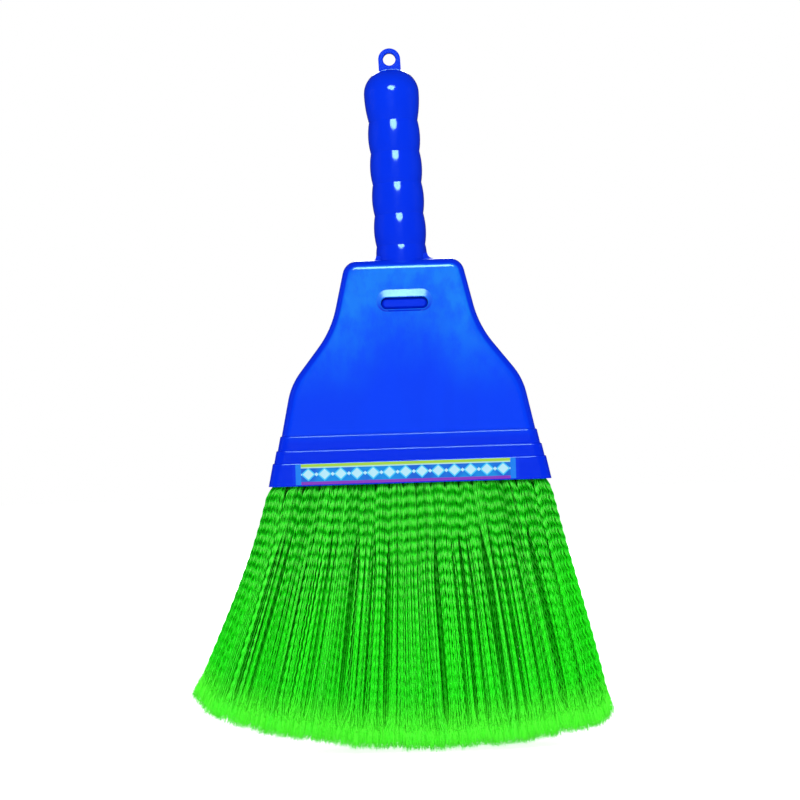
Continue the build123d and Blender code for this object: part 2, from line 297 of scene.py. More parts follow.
class BristleSettings(bpy.types.PropertyGroup):
    """Sizes and colours of the bristles."""

    filament_count: IntProperty(
        name="Filaments", description="Filaments in one tuft", default=45, min=6,
    )
    filament_radius: length_property(
        "Filament Radius", "Half the thickness of one filament", 0.3, least=0.05,
    )
    tuft_count: IntProperty(
        name="Tufts", description="Tufts in the longest row", default=19, min=2,
    )
    tuft_pitch: length_property("Tuft Pitch", "Distance from tuft to tuft along a row", 8.05)
    row_pitch: length_property("Row Pitch", "Distance from row to row", 6.6)
    root_radius: length_property("Root Radius", "Radius of a tuft in its hole", 2.3)
    tuft_overlap: FloatProperty(
        name="Tuft Overlap", description="Width of an open tuft as a share of its pitch",
        default=1.1, min=0.5,
    )
    crimp_pitch: length_property("Crimp Pitch", "Length of one wave of the crimp", 6.8, least=1.0)
    crimp_depth: length_property(
        "Crimp Depth", "Height of a wave of the crimp from its middle", 0.75,
    )
    flag_length: length_property(
        "Flag Length", "Length over which a tip is split into fine hairs", 14,
    )
    # Painted shade: a darker green where the bristles leave the hood.
    root_green: colour_property(
        "Root Green", "Colour of the bristles at the hood", (0.016, 0.80, 0.010),
    )
    middle_green: colour_property(
        "Middle Green", "Colour of the bristles halfway down", (0.022, 1.0, 0.012),
    )
    tip_green: colour_property("Tip Green", "Colour of the split tips", (0.12, 1.0, 0.045))


class LabelSettings(bpy.types.PropertyGroup):
    """Colours and sizes of the printed label."""

    ground_blue: colour_property("Ground", "Colour of the label's ground", (0.008, 0.21, 0.62))
    mark_pitch: length_property("Mark Pitch", "Distance from one printed mark to the next", 9.6)


class StageSettings(bpy.types.PropertyGroup):
    """Place and lens of the camera."""

    aim: FloatVectorProperty(
        name="Aim", description="Point in the middle of the picture", subtype="TRANSLATION",
        unit="LENGTH", default=(4.3 * MM, 0, 209.1 * MM),
    )
    picture_width: length_property(
        "Picture Width", "Width that the picture takes in at the broom", 480,
    )
    lens: FloatProperty(name="Lens", description="Focal length in millimetres", default=110)
    roll: FloatProperty(
        name="Roll", description="Roll of the camera", subtype="ANGLE", default=math.radians(1.84),
    )


class HandBroomSettings(bpy.types.PropertyGroup):
    """All settings of the hand broom."""

    plastic: PointerProperty(type=PlasticSettings)
    bristles: PointerProperty(type=BristleSettings)
    label: PointerProperty(type=LabelSettings)
    stage: PointerProperty(type=StageSettings)


def repaint(node_name, finish):
    """Gives a CAD node a finish in place of its plain one."""
    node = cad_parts[node_name]
    node.data.materials.clear()
    node.data.materials.append(finish.material)


FLOW_BLUE = (0.0, 0.02, 0.60)
SCUFF_BLUE = (0.02, 0.25, 1.0)
GLOSS_TINT = (0.45, 0.90, 1.0, 1.0)


def moulded_plastic(name, look, settings):
    """Polished injection moulding: faint flow marks, fine grain, a parting line and scratches.

    look takes the finish and the place, and gives the colour and the dullness there."""
    finish = Finish(name)
    place = finish.millimetres()
    _, depth, _ = finish.axes(place)
    upright = finish.millimetres((1.0, 1.0, 0.35))
    flow = finish.noise(upright, pitch=26.0, detail=3.0, distortion=0.8)
    grain = finish.noise(place, pitch=1.1)
    ripple = finish.noise(place, pitch=9.0, detail=1.0)
    drawn_out = finish.millimetres((1.0, 1.0, 0.12))
    scratch = finish.noise(drawn_out, pitch=0.5, detail=4.0, roughness=0.7).beyond(0.72, 0.06)
    parting = abs(depth).within(0.225, 0.125)
    base, dull = look(finish, place)
    base = finish.coats(
        base,
        (flow.ramp(0.35, 0.7, 0.0, 0.14), FLOW_BLUE),
        (scratch * 0.05, SCUFF_BLUE),
        (parting * 0.08, SCUFF_BLUE),
    )
    relief = grain * 0.20 + ripple * 0.5 + parting * 1.2 - scratch * 0.15
    finish.surface(
        base_color=base,
        roughness=settings.gloss_roughness + flow * 0.03 + scratch * 0.05 + dull * 0.22,
        ior=1.49,
        specular_ior_level=0.75,
        specular_tint=GLOSS_TINT,
        normal=finish.bump(relief, settings.grain_depth),
    )
    return finish


class HANDBROOM_OT_plastic(bpy.types.Operator):
    """Give the handle and the hood their polished blue plastic"""

    bl_idname = "handbroom.plastic"
    bl_label = "Dress Handle and Hood"

    # Shares of the way from the hood's mouth up to its shoulder.
    # Where the painted sheen starts.
    SHEEN_FROM = 0.40
    # Heights over which the hem's painted shade comes in.
    HEM_FULL = 0.18
    HEM_TOP = 0.24
    # Distances in millimetres.
    # Heights below the shoulder over which the collar's painted shade fades in.
    COLLAR_FULL = 1.0
    COLLAR_FROM = 3.0
    LIP_HALF_WIDTH = 19.0
    LIP_HALF_HEIGHT = 10.0
    LIP_EDGE = 1.0

    def execute(self, context):
        settings = context.scene.hand_broom.plastic
        bottom = HOOD_LOW.z / MM
        top = (HOOD_HIGH.z - settings.collar_height) / MM

        def level(share):
            """Height at a share of the way from the hood's mouth up to its shoulder."""
            return bottom + (top - bottom) * share

        def hood_look(finish, place):
            """Painted sheen towards the shoulder, painted shade at rim, collar and hem, dull on the
            slot's lip.
            """
            across, _, height = finish.axes(place)
            aside = abs(across - HOOD_MIDDLE.x / MM)
            _, facing, _ = finish.axes(finish.node("ShaderNodeTexCoord", output="Normal"))
            flatness = abs(facing)
            mottled = finish.millimetres((1.0, 0.2, 0.55))
            cloud = finish.noise(mottled, pitch=10.0, detail=4.0, roughness=0.65)
            # The painted sheen reaches further down at the sides than in the middle.
            lift = height + aside.ramp(8.0, 34.0, -6.0, 10.0)
            # Painted sheen: paler and mottled towards the shoulder.
            pale = lift.ramp(level(self.SHEEN_FROM), top) * cloud.ramp(0.3, 0.7, 0.5, 1.25)
            # Painted shade: darker blue on the hood's rounded edges, and on the shoulder round the
            # collar.
            rim_shade = flatness.ramp(0.985, 0.86)
            collar = height.ramp(top - self.COLLAR_FROM, top - self.COLLAR_FULL)
            base = finish.coats(
                settings.hood_blue,
                (pale, settings.painted_sheen_blue),
                (rim_shade.larger(collar), settings.handle_blue),
                # Painted shade on the hem's bands.
                (height.ramp(level(self.HEM_TOP), level(self.HEM_FULL)), settings.hem_shade_blue),
            )
            from_slot = abs(height - top + settings.slot_drop / MM)
            lip = (
                from_slot.within(self.LIP_HALF_HEIGHT, self.LIP_EDGE)
                * aside.within(self.LIP_HALF_WIDTH, self.LIP_EDGE)
                * flatness.ramp(0.995, 0.96)
            )
            # The lip's bevels are glossy in the middle and duller towards their ends.
            arch = aside / 15.0 + from_slot / 14.0
            return base, lip * arch.ramp(0.6, 1.15)

        def handle_look(finish, place):
            """One blue, a little brighter towards the knob, and nowhere dull."""
            _, _, height = finish.axes(place)
            brighter = height.ramp(top, top * 1.4, 0.0, 0.3)
            return finish.mix(brighter, settings.handle_blue, settings.hood_blue), 0.0

        repaint("hood", moulded_plastic("hood_plastic", hood_look, settings))
        repaint("handle", moulded_plastic("handle_plastic", handle_look, settings))
        return {"FINISHED"}


class HANDBROOM_OT_fittings(bpy.types.Operator):
    """Give the bristle block and the wire anchors their plastic and steel"""

    bl_idname = "handbroom.fittings"
    bl_label = "Dress Block and Anchors"

    BLOCK_BLUES = (0.004, 0.035, 0.33), (0.01, 0.06, 0.45)
    DUST_GREY = (0.20, 0.22, 0.26)
    STEEL_GREYS = (0.46, 0.46, 0.45), (0.68, 0.68, 0.66)

    def execute(self, context):
        repaint("bristle_block", self.block_plastic())
        repaint("tuft_anchors", self.anchor_steel())
        return {"FINISHED"}

    def block_plastic(self):
        """Dull blue plastic with drill marks and dust."""
        finish = Finish("block_plastic")
        place = finish.millimetres()
        speckle = finish.noise(place, pitch=1.4, detail=5.0, roughness=0.7)
        dust = finish.noise(place, pitch=12.0, detail=4.0).ramp(0.5, 0.75, 0.0, 0.25)
        finish.surface(
            base_color=finish.mix(dust, finish.mix(speckle, *self.BLOCK_BLUES), self.DUST_GREY),
            roughness=0.45 + speckle * 0.2,
            normal=finish.bump(speckle, 0.06 * MM),
        )
        return finish

    def anchor_steel(self):
        """Drawn steel wire with streaks along it."""
        finish = Finish("anchor_steel")
        streak = finish.noise(finish.millimetres((0.1, 1.0, 1.0)), pitch=0.2, detail=3.0)
        finish.surface(
            base_color=finish.mix(streak, *self.STEEL_GREYS),
            metallic=1.0,
            roughness=0.22 + streak * 0.2,
            normal=finish.bump(streak, 0.01 * MM),
        )
        return finish


def add_object(name, data):
    """A new object in the scene."""
    item = bpy.data.objects.new(name, data)
    bpy.context.scene.collection.objects.link(item)
    return item


def mesh_object(name, points, quads, triangles, values):
    """A smooth mesh of quads and triangles that carries named values at its points."""
    mesh = bpy.data.meshes.new(name)
    mesh.vertices.add(len(points))
    mesh.vertices.foreach_set("co", points.astype(np.float32).ravel())
    corners = np.concatenate([quads.ravel(), triangles.ravel()])
    mesh.loops.add(len(corners))
    mesh.loops.foreach_set("vertex_index", corners.astype(np.int32))
    starts = [np.arange(len(quads)) * 4, quads.size + np.arange(len(triangles)) * 3]
    mesh.polygons.add(len(quads) + len(triangles))
    mesh.polygons.foreach_set("loop_start", np.concatenate(starts).astype(np.int32))
    mesh.update(calc_edges=True)
    mesh.validate()
    mesh.shade_smooth()
    for attribute, numbers in values.items():
        layer = mesh.attributes.new(attribute, "FLOAT", "POINT")
        layer.data.foreach_set("value", numbers.astype(np.float32))
    return add_object(name, mesh)


SIDES = 3


def tubes(centres, radii, turns):
    """Closed tubes round many centre lines at once, each ring level: points, quads and triangles.

    centres is (tube, ring, xyz), radii is (tube, ring) and turns is (tube,)."""
    count, rings, _ = centres.shape
    angles = turns[:, None] + np.arange(SIDES) * math.tau / SIDES
    rims = np.stack([np.cos(angles), np.sin(angles), np.zeros_like(angles)], axis=-1)
    points = centres[:, :, None, :] + radii[:, :, None, None] * rims[:, None, :, :]
    numbers = np.arange(count * rings * SIDES).reshape(count, rings, SIDES)
    after = np.roll(numbers, -1, axis=2)
    upper, lower = numbers[:, :-1], numbers[:, 1:]
    upper_after, lower_after = after[:, :-1], after[:, 1:]
    quads = np.stack([upper, lower, lower_after, upper_after], axis=-1).reshape(-1, 4)
    caps = np.concatenate([numbers[:, 0], numbers[:, -1, ::-1]])
    return points.reshape(-1, 3), quads, caps


def smooth(value, start, end):
    """Goes smoothly from 0 to 1 while a value goes from start to end."""
    share = np.clip((value - start) / (end - start), 0, 1)
    return share * share * (3 - 2 * share)


def clipped(values, limit):
    """Values kept between minus a limit and the limit."""
    return np.clip(values, -limit, limit)


class BristleFan:
    """The fan of tufts below the hood, worked out in millimetres.

    A filament is described by its place in the tuft, two numbers from -1 to 1, and by the free
    share of its length, from 0 where it leaves the block to 1 at its tip."""

    # Bow of the fan's sides, as a share of how far they flare.
    LEFT_BOW = -0.03
    RIGHT_BOW = 0.32
    DEPTH_BOW = 0.23
    # Bulge of the outer tufts where they come out of the hood, and how soon it comes and goes.
    LEFT_BRIM = 7.5
    RIGHT_BRIM = 6.0
    DEPTH_BRIM = 3.5
    BRIM_POWER = 6
    DEPTH_BRIM_POWER = 3
    BRIM_LENGTH = 2.0
    BRIM_FADE = 4
    OPENING_LENGTH = 3.5
    # Arc of the tips: a broad rise to each side and a sharp one at the corners.
    LEFT_TIP_RISE = 24.0
    RIGHT_TIP_RISE = 13.6
    LEFT_RISE_POWER = 1.7
    RIGHT_RISE_POWER = 2.54
    LEFT_CORNER_RISE = 14.0
    RIGHT_CORNER_RISE = 10.0
    LEFT_CORNER_POWER = 16
    RIGHT_CORNER_POWER = 40
    UNEVEN = 0.5
    TIP_SCATTER = 0.8
    TIP_INSET = 1.2
    FLOOR_GAP = 0.3
    # Roots in the block, and the slice of the block that a row carries.
    HOLE_DEPTH = 9.0
    SLICE_HEIGHT = 3.0
    # Filaments of a tuft: more in the end tufts, and in bundles in the rows that are seen.
    END_FILLING = 1.8
    END_FULLNESS = 1.25
    BUNDLES = 8
    GATHER = 0.78
    GATHER_SPAN = 0.10, 0.40
    RELEASE_SPAN = 0.84, 0.97
    MOST_CLUMPED = 0.40
    STRAY_LIMIT = 1.4
    HIDDEN_LOOSENESS = 0.4
    TUFT_DRIFT = 0.7
    # Low tone that paints shade on the hidden inner rows, seen between the tufts.
    INNER_SHADE = 0.12
    # How far a tuft's waves arch and slant, in waves.
    ARCH = 0.26
    RIGHT_ARCH = 0.12
    RIGHT_SLANT = 0.27
    # How unlike the crimp of neighbours is, in waves, shares of a length and radians.
    TUFT_SHIFT = 0.10
    TUFT_SHIFT_LIMIT = 0.2
    FILAMENT_SHIFT = 0.08
    STRETCH_SPREAD = 0.009
    TURN_SPREAD = 0.22
    CRIMP_GROWTH = 4.0
    RING_GAP = 1e-4
    # Fine hairs at the tips.
    HAIRS = 6
    HAIR_RINGS = 4
    HAIR_SPREAD = 1.4
    HAIR_LIMIT = 2.6
    HAIR_SHORTFALL = 1.3
    HAIR_SWAY = 0.6
    HAIR_ROOT = 0.55
    HAIR_TAPER = 0.35

    def __init__(self, settings):
        self.settings = settings
        self.pitch = settings.tuft_pitch / MM
        self.row_pitch = settings.row_pitch / MM
        self.root_radius = settings.root_radius / MM
        self.filament_radius = settings.filament_radius / MM
        self.centre_x = HOOD_MIDDLE.x / MM
        rows = [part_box(name) for name in ROW_NAMES]
        self.left = self.centre_x - min(low[0] for low, _ in rows) / MM
        self.right = max(high[0] for _, high in rows) / MM - self.centre_x
        self.depth = max(high[1] for _, high in rows) / MM
        self.exit_z = BLOCK_LOW.z / MM - self.SLICE_HEIGHT
        self.span = (settings.tuft_count - 1) / 2 * self.pitch
        self.row_span = (len(ROW_NAMES) - 1) / 2 * self.row_pitch

    def is_outer(self, row):
        """Whether a row is the front or the back one."""
        return row in (0, len(ROW_NAMES) - 1)

    def tip_rise(self, along):
        """How far the arc of the tips has risen, at distances along from the hood's middle."""
        left = np.clip(-along, 0, None) / self.left
        right = np.clip(along, 0, None) / self.right
        return (
            self.LEFT_TIP_RISE * left**self.LEFT_RISE_POWER
            + self.LEFT_CORNER_RISE * left**self.LEFT_CORNER_POWER
            + self.RIGHT_TIP_RISE * right**self.RIGHT_RISE_POWER
            + self.RIGHT_CORNER_RISE * right**self.RIGHT_CORNER_POWER
            + self.UNEVEN * (2 + np.sin(0.13 * along - 3.2) + np.sin(0.37 * along + 0.5))
        )

    def tuft_offsets(self, row):
        """Places of one row's tufts along the hood, from its middle."""
        count = self.settings.tuft_count - row % 2
        return [(tuft - (count - 1) / 2) * self.pitch for tuft in range(count)]

    def tuft(self, row, along, rings_per_wave):
        """The filaments of one tuft and the hairs at their tips.

        Each is the points, quads and triangles of its tubes, then what bristle_plastic reads at
        each point: the share along the filament, its tone with painted shade for hidden rows, and
        the painted highlight and shade on the crests and troughs of its crimp."""
        chance = np.random.default_rng(1000 * row + round(2 * along / self.pitch) + 500)
        strand = self.strand(row, along, chance)
        count = len(strand["wide"])
        tip_x, _ = self.tips(strand, count)
        scatter = np.abs(chance.normal(0, self.TIP_SCATTER, count))
        tip_z = self.tip_rise(tip_x - self.centre_x) + scatter + self.FLOOR_GAP
        length = self.exit_z - tip_z
        share, split = self.ring_shares(row, strand, length, rings_per_wave, chance)
        rings = share.shape[1]

        drop = share * length[:, None]
        x, y = self.place(strand, share, drop)
        wave = np.sin(np.arange(rings) * math.tau / rings_per_wave + math.pi / rings_per_wave)
        grown = np.clip(drop / self.CRIMP_GROWTH, 0, 1)
        depth = self.settings.crimp_depth / MM * chance.uniform(0.85, 1.1, count)
        crimp = depth[:, None] * grown * wave[None, :]
        facing = self.crimp_turn(row, along) + chance.normal(0, self.TURN_SPREAD, count)
        x += crimp * np.sin(facing)[:, None]
        y += crimp * np.cos(facing)[:, None]
        centres = np.stack([x, y, self.exit_z - drop], axis=-1)
        thickness = self.filament_radius * chance.uniform(0.88, 1.1, count)
        bundle_tone = (1 + np.sin(strand["bundle"][0] * 40 + along)) / 2
        tone = (0.5 * chance.uniform(0, 1, count) + 0.5 * bundle_tone) * strand["tone"]
        radii = np.repeat(thickness[:, None], rings, axis=1)
        tube = tubes(centres, radii, chance.uniform(0, math.tau, count))
        contrast = self.painted_crimp_contrast(along, share) * grown
        outer_side = -1 if strand["across"] <= 0 else 1
        # Painted highlight on the crimp's crests and painted shade in its troughs, turned to the
        # tuft's outer side.
        crimp_shading_values = 0.5 + 0.5 * outer_side * contrast * wave[None, :]
        filaments = (
            *tube,
            np.repeat(np.clip(share, 0, 1).ravel(), SIDES),
            np.repeat(tone, rings * SIDES),
            np.repeat(crimp_shading_values.ravel(), SIDES),
        )
        return [filaments, self.hairs(strand, centres[:, -1], split, tip_z, tone, chance)]

    def strand(self, row, along, chance):
        """Where the filaments of one tuft lie in it, and how the tuft opens.

        wide and deep place each filament, bundle is the place that it keeps to halfway down, and
        stray is how far its tip wanders. The rest holds for the tuft."""
        inside = abs(along) < self.span - self.pitch / 2
        shown = inside and self.is_outer(row)
        filling = 1.0 if inside else self.END_FILLING
        count = round(self.settings.filament_count * filling)
        wide = (chance.permutation(count) + chance.uniform(0, 1, count)) * 2 / count - 1
        deep = chance.uniform(-1, 1, count)
        if not inside:
            wide = (wide + np.sin(wide * math.pi / 2)) / 2
        loose = 1.0 if shown else self.HIDDEN_LOOSENESS
        steady = 1 - wide**2 * (not inside)
        return {
            "along": along,
            "tip_side": along / self.tuft_offsets(row)[-1],
            "across": (row - (len(ROW_NAMES) - 1) / 2) * self.row_pitch,
            "wide": wide,
            "deep": deep,
            "bundle": self.bundle(wide, deep, chance),
            "stray": loose * clipped(chance.normal(0, 1.0, (2, count)), self.STRAY_LIMIT) * steady,
            "overlap": self.settings.tuft_overlap if inside else 1.0,
            "fullness": 1.0 if inside else self.END_FULLNESS,
            "clump": chance.uniform(0.0, self.MOST_CLUMPED) * shown,
            "gather": self.GATHER * shown,
            "drift": chance.normal(0, self.TUFT_DRIFT, 2) * inside,
            # Hidden inner rows are darkened with painted shade.
            "tone": 1.0 if shown or not inside else self.INNER_SHADE,
        }

    def bundle(self, wide, deep, chance):
        """Middle of the small bundle that each filament keeps to halfway down."""
        spots = np.arange(self.BUNDLES) + chance.uniform(0.2, 0.8, self.BUNDLES)
        lane = spots * 2 / self.BUNDLES - 1
        middles = np.stack([lane, chance.uniform(-0.9, 0.9, self.BUNDLES)], axis=1)
        places = np.stack([wide, deep * 0.6], axis=1)
        nearest = np.argmin(((places[:, None] - middles[None]) ** 2).sum(axis=2), axis=1)
        return middles[nearest].T

    def ring_shares(self, row, strand, length, rings_per_wave, chance):
        """Shares of a filament's length at its rings, and the share where its tip splits."""
        count = len(length)
        waves = round(float(np.median(length)) * MM / self.settings.crimp_pitch)
        rings = waves * rings_per_wave
        shift = self.phase(row, strand["along"], strand["wide"])
        shift = shift + clipped(chance.normal(0, self.TUFT_SHIFT), self.TUFT_SHIFT_LIMIT)
        shift = shift + chance.normal(0, self.FILAMENT_SHIFT, count)
        stretch = 1 + chance.normal(0, self.STRETCH_SPREAD, count)
        steps = np.arange(1, rings)[None, :] - shift[:, None] * rings_per_wave
        root = np.full((count, 1), -self.HOLE_DEPTH / self.exit_z)
        share = [root, steps / rings * stretch[:, None], np.ones((count, 1))]
        split = 1 - self.settings.flag_length / MM * chance.uniform(0.7, 1.15, count) / length
        # The rings past the split close up, but stay a little apart so that no face is lost.
        apart = self.RING_GAP * np.arange(rings + 1) / rings
        return np.minimum(np.concatenate(share, axis=1), split[:, None] + apart[None, :]), split

    def place(self, strand, share, drop):
        """X and Y of a tuft's filaments without their crimp, at shares of their length."""
        free = np.clip(share, 0, 1)
        drop = np.clip(drop, 0, None)
        side = strand["along"] / self.span
        depth_side = strand["across"] / self.row_span
        bow, reach, push = (
            (self.LEFT_BOW, self.left, self.LEFT_BRIM) if side < 0
            else (self.RIGHT_BOW, self.right, self.RIGHT_BRIM)
        )
        reach -= self.TIP_INSET
        flare = free + bow * free * (1 - free)
        depth_flare = free + self.DEPTH_BOW * free * (1 - free)
        tip_half_width = reach / self.settings.tuft_count
        tip_half_depth = self.depth / len(ROW_NAMES)
        tip_x = strand["tip_side"] * (reach - tip_half_width)
        tip_y = depth_side * (self.depth - tip_half_depth)
        middle_x = strand["along"] + (tip_x - strand["along"]) * flare
        middle_y = strand["across"] + (tip_y - strand["across"]) * depth_flare

        gather = smooth(free, *self.GATHER_SPAN) * (1 - smooth(free, *self.RELEASE_SPAN))
        wide, deep = strand["wide"][:, None], strand["deep"][:, None]
        bundle_wide, bundle_deep = strand["bundle"][:, :, None]
        loose_wide = wide + (bundle_wide - wide) * strand["gather"] * gather
        loose_deep = deep + (bundle_deep - deep) * strand["gather"] * gather
        opened = 1 - np.exp(-drop / self.OPENING_LENGTH)
        half_width = self.pitch / 2 + (tip_half_width - self.pitch / 2) * flare
        half_width = half_width * strand["overlap"] * (1 - strand["clump"] * gather)
        half_depth = self.row_pitch / 2 + (tip_half_depth - self.row_pitch / 2) * depth_flare
        half_depth = half_depth * strand["fullness"]
        round_wide = wide * np.sqrt(1 - deep**2 / 2) * self.root_radius
        round_deep = deep * np.sqrt(1 - wide**2 / 2) * self.root_radius
        x = middle_x + round_wide + (loose_wide * half_width - round_wide) * opened
        y = middle_y + round_deep + (loose_deep * half_depth - round_deep) * opened

        outward = (strand["along"] + round_wide) / (self.span + self.root_radius)
        depth_outward = (strand["across"] + round_deep) / (self.row_span + self.root_radius)
        brim = (1 - np.exp(-drop / self.BRIM_LENGTH)) * (1 - free) ** self.BRIM_FADE
        bulge = np.sign(outward) * np.abs(outward) ** self.BRIM_POWER
        depth_bulge = np.sign(depth_outward) * np.abs(depth_outward) ** self.DEPTH_BRIM_POWER
        x = x + bulge * push * brim
        y = y + depth_bulge * self.DEPTH_BRIM * brim
        x = x + strand["drift"][0] * gather + strand["stray"][0][:, None] * free**3
        y = y + strand["drift"][1] * gather + strand["stray"][1][:, None] * free**3
        return self.centre_x + x, y

    def tips(self, strand, count):
        """X and Y of the tips of a tuft's filaments."""
        x, y = self.place(strand, np.ones((count, 1)), np.full((count, 1), self.exit_z))
        return x[:, 0], y[:, 0]

    def hairs(self, strand, start, split, tip_z, tone, chance):
        """Fine hairs into which the end of each filament is split."""
        count = len(start)
        total = count * self.HAIRS
        end = np.stack([*self.tips(strand, count), tip_z], axis=1)
        start, end = (np.repeat(points, self.HAIRS, axis=0) for points in (start, end))
        end[:, :2] += clipped(chance.normal(0, self.HAIR_SPREAD, (total, 2)), self.HAIR_LIMIT)
        end[:, 2] += np.abs(chance.normal(0, self.HAIR_SHORTFALL, total))
        way = np.linspace(0, 1, self.HAIR_RINGS)
        centres = start[:, None, :] + (end - start)[:, None, :] * way[None, :, None]
        arc = np.sin(way * math.pi)[None, :, None]
        centres[:, :, :2] += chance.normal(0, self.HAIR_SWAY, (total, 1, 2)) * arc
        taper = self.HAIR_ROOT - self.HAIR_TAPER * way
        radii = np.repeat(self.filament_radius * taper[None, :], total, axis=0)
        tube = tubes(centres, radii, chance.uniform(0, math.tau, total))
        begin = np.repeat(split, self.HAIRS)
        shares = begin[:, None] + (1 - begin)[:, None] * way[None, :]
        tones = np.repeat(tone, self.HAIRS * self.HAIR_RINGS * SIDES)
        return (*tube, np.repeat(shares.ravel(), SIDES), tones, np.full(len(tones), 0.5))

    def phase(self, row, along, wide):
        """Share of a wave by which the crimp of a tuft's filaments is shifted."""
        right = float(smooth(along, 0.0, 50.0))
        arch = (self.ARCH + self.RIGHT_ARCH * right) * wide**2
        slant = self.RIGHT_SLANT * right * math.sin(along * 0.39 + row) * wide
        drift = 0.16 * math.sin(along * 0.045 + row * 0.9) + 0.06 * math.sin(along * 0.8 + row)
        return drift - arch + slant

    def crimp_turn(self, row, along):
        """Turn of one tuft's crimp away from facing the front."""
        return 0.25 * math.sin(along * 0.093 + row * 2.3) + 0.5 * float(smooth(along, 35.0, 60.0))

    def painted_crimp_contrast(self, along, share):
        """How strongly painted highlight and shade follow the crimp's crests and troughs: most near
        the hood, less at the tips and far right.
        """
        near_hood = 0.40 + 0.60 * (1 - smooth(share, 0.28, 0.65))
        far_right = smooth(along, 60.0, 72.0) * smooth(share, 0.15, 0.45)
        return near_hood * (1 - smooth(share, 0.80, 0.92)) * (1 - 0.6 * far_right)


# Painted highlight for crimp crests and painted shade for crimp troughs.
CREST_HIGHLIGHT_GREEN = (0.14, 0.95, 0.09)
TROUGH_SHADE_GREEN = (0.0, 0.36, 0.0)
LIGHT_GREEN = (0.08, 1.0, 0.05)
# Dark strands at random, and painted shade on the hidden inner rows.
DARK_AND_SHADE_GREEN = (0.0, 0.34, 0.0)
GREEN_TINT = (0.28, 1.0, 0.28, 1.0)
BLACK = (0.0, 0.0, 0.0)


def bristle_plastic(settings):
    """Drawn green filament with painted shade near the hood, paler where the tips are split, where
    a painted glow lights them.
    """
    finish = Finish("bristle_plastic")
    along, tone, crest = (
        finish.node("ShaderNodeAttribute", {"attribute_name": name}, output="Fac")
        for name in ("along", "tone", "crest")
    )
    stops = [
        # Painted shade near the hood.
        (0.0, settings.root_green),
        (0.45, settings.middle_green),
        (0.80, settings.middle_green),
        (0.93, settings.tip_green),
    ]
    green = finish.node("ShaderNodeValToRGB", {"stops": stops}, {0: along}, output="Color")
    above_tips = 1 - along.ramp(0.6, 0.92)
    streak = finish.noise(finish.millimetres((1.0, 1.0, 0.2)), pitch=0.3)
    finish.surface(
        base_color=finish.coats(
            green,
            # Painted highlight on crimp crests, painted shade in crimp troughs.
            (crest.ramp(0.55, 0.95, 0.0, 0.85), CREST_HIGHLIGHT_GREEN),
            (crest.ramp(0.45, 0.05, 0.0, 0.85), TROUGH_SHADE_GREEN),
            (tone.ramp(0.55, 0.95, 0.0, 0.6), LIGHT_GREEN),
            # Dark strands at random, and painted shade on the hidden inner rows.
            (tone.ramp(0.32, 0.02, 0.0, 0.66) * above_tips, DARK_AND_SHADE_GREEN),
        ),
        roughness=0.24 + streak * 0.12,
        specular_ior_level=0.45,
        specular_tint=GREEN_TINT,
        # Painted light: the split tips glow green as if lit through.
        emission_color=finish.mix(along.ramp(0.84, 0.95), BLACK, settings.tip_green),
        emission_strength=0.13,
        normal=finish.bump(streak, 0.02 * MM),
    )
    return finish


class HANDBROOM_OT_bristles(bpy.types.Operator):
    """Grow the crimped bristles, row by row"""

    bl_idname = "handbroom.bristles"
    bl_label = "Grow Bristles"

    def execute(self, context):
        settings = context.scene.hand_broom.bristles
        fan = BristleFan(settings)
        finish = bristle_plastic(settings)
        for row, name in enumerate(ROW_NAMES):
            sections, rings_per_wave = ("left", "right"), 2
            if fan.is_outer(row):
                sections, rings_per_wave = ("far_left", *sections, "far_right"), 4
            groups = np.array_split(fan.tuft_offsets(row), len(sections))
            for section, group in zip(sections, groups):
                parts = [part for along in group for part in fan.tuft(row, along, rings_per_wave)]
                piece = self.join(f"{name}_{section}", parts)
                piece.data.materials.append(finish.material)
                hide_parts(name)
                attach(piece, BODY)
        return {"FINISHED"}

    def join(self, name, parts):
        """One mesh of the tubes of many tufts."""
        points, quads, triangles, along, tone, crest = zip(*parts)
        firsts = np.cumsum([0] + [len(part) for part in points[:-1]])
        quads, triangles = (
            np.concatenate([corners + first for corners, first in zip(faces, firsts)])
            for faces in (quads, triangles)
        )
        values = {"along": along, "tone": tone, "crest": crest}
        values = {attribute: np.concatenate(numbers) for attribute, numbers in values.items()}
        return mesh_object(name, np.concatenate(points) * MM, quads, triangles, values)


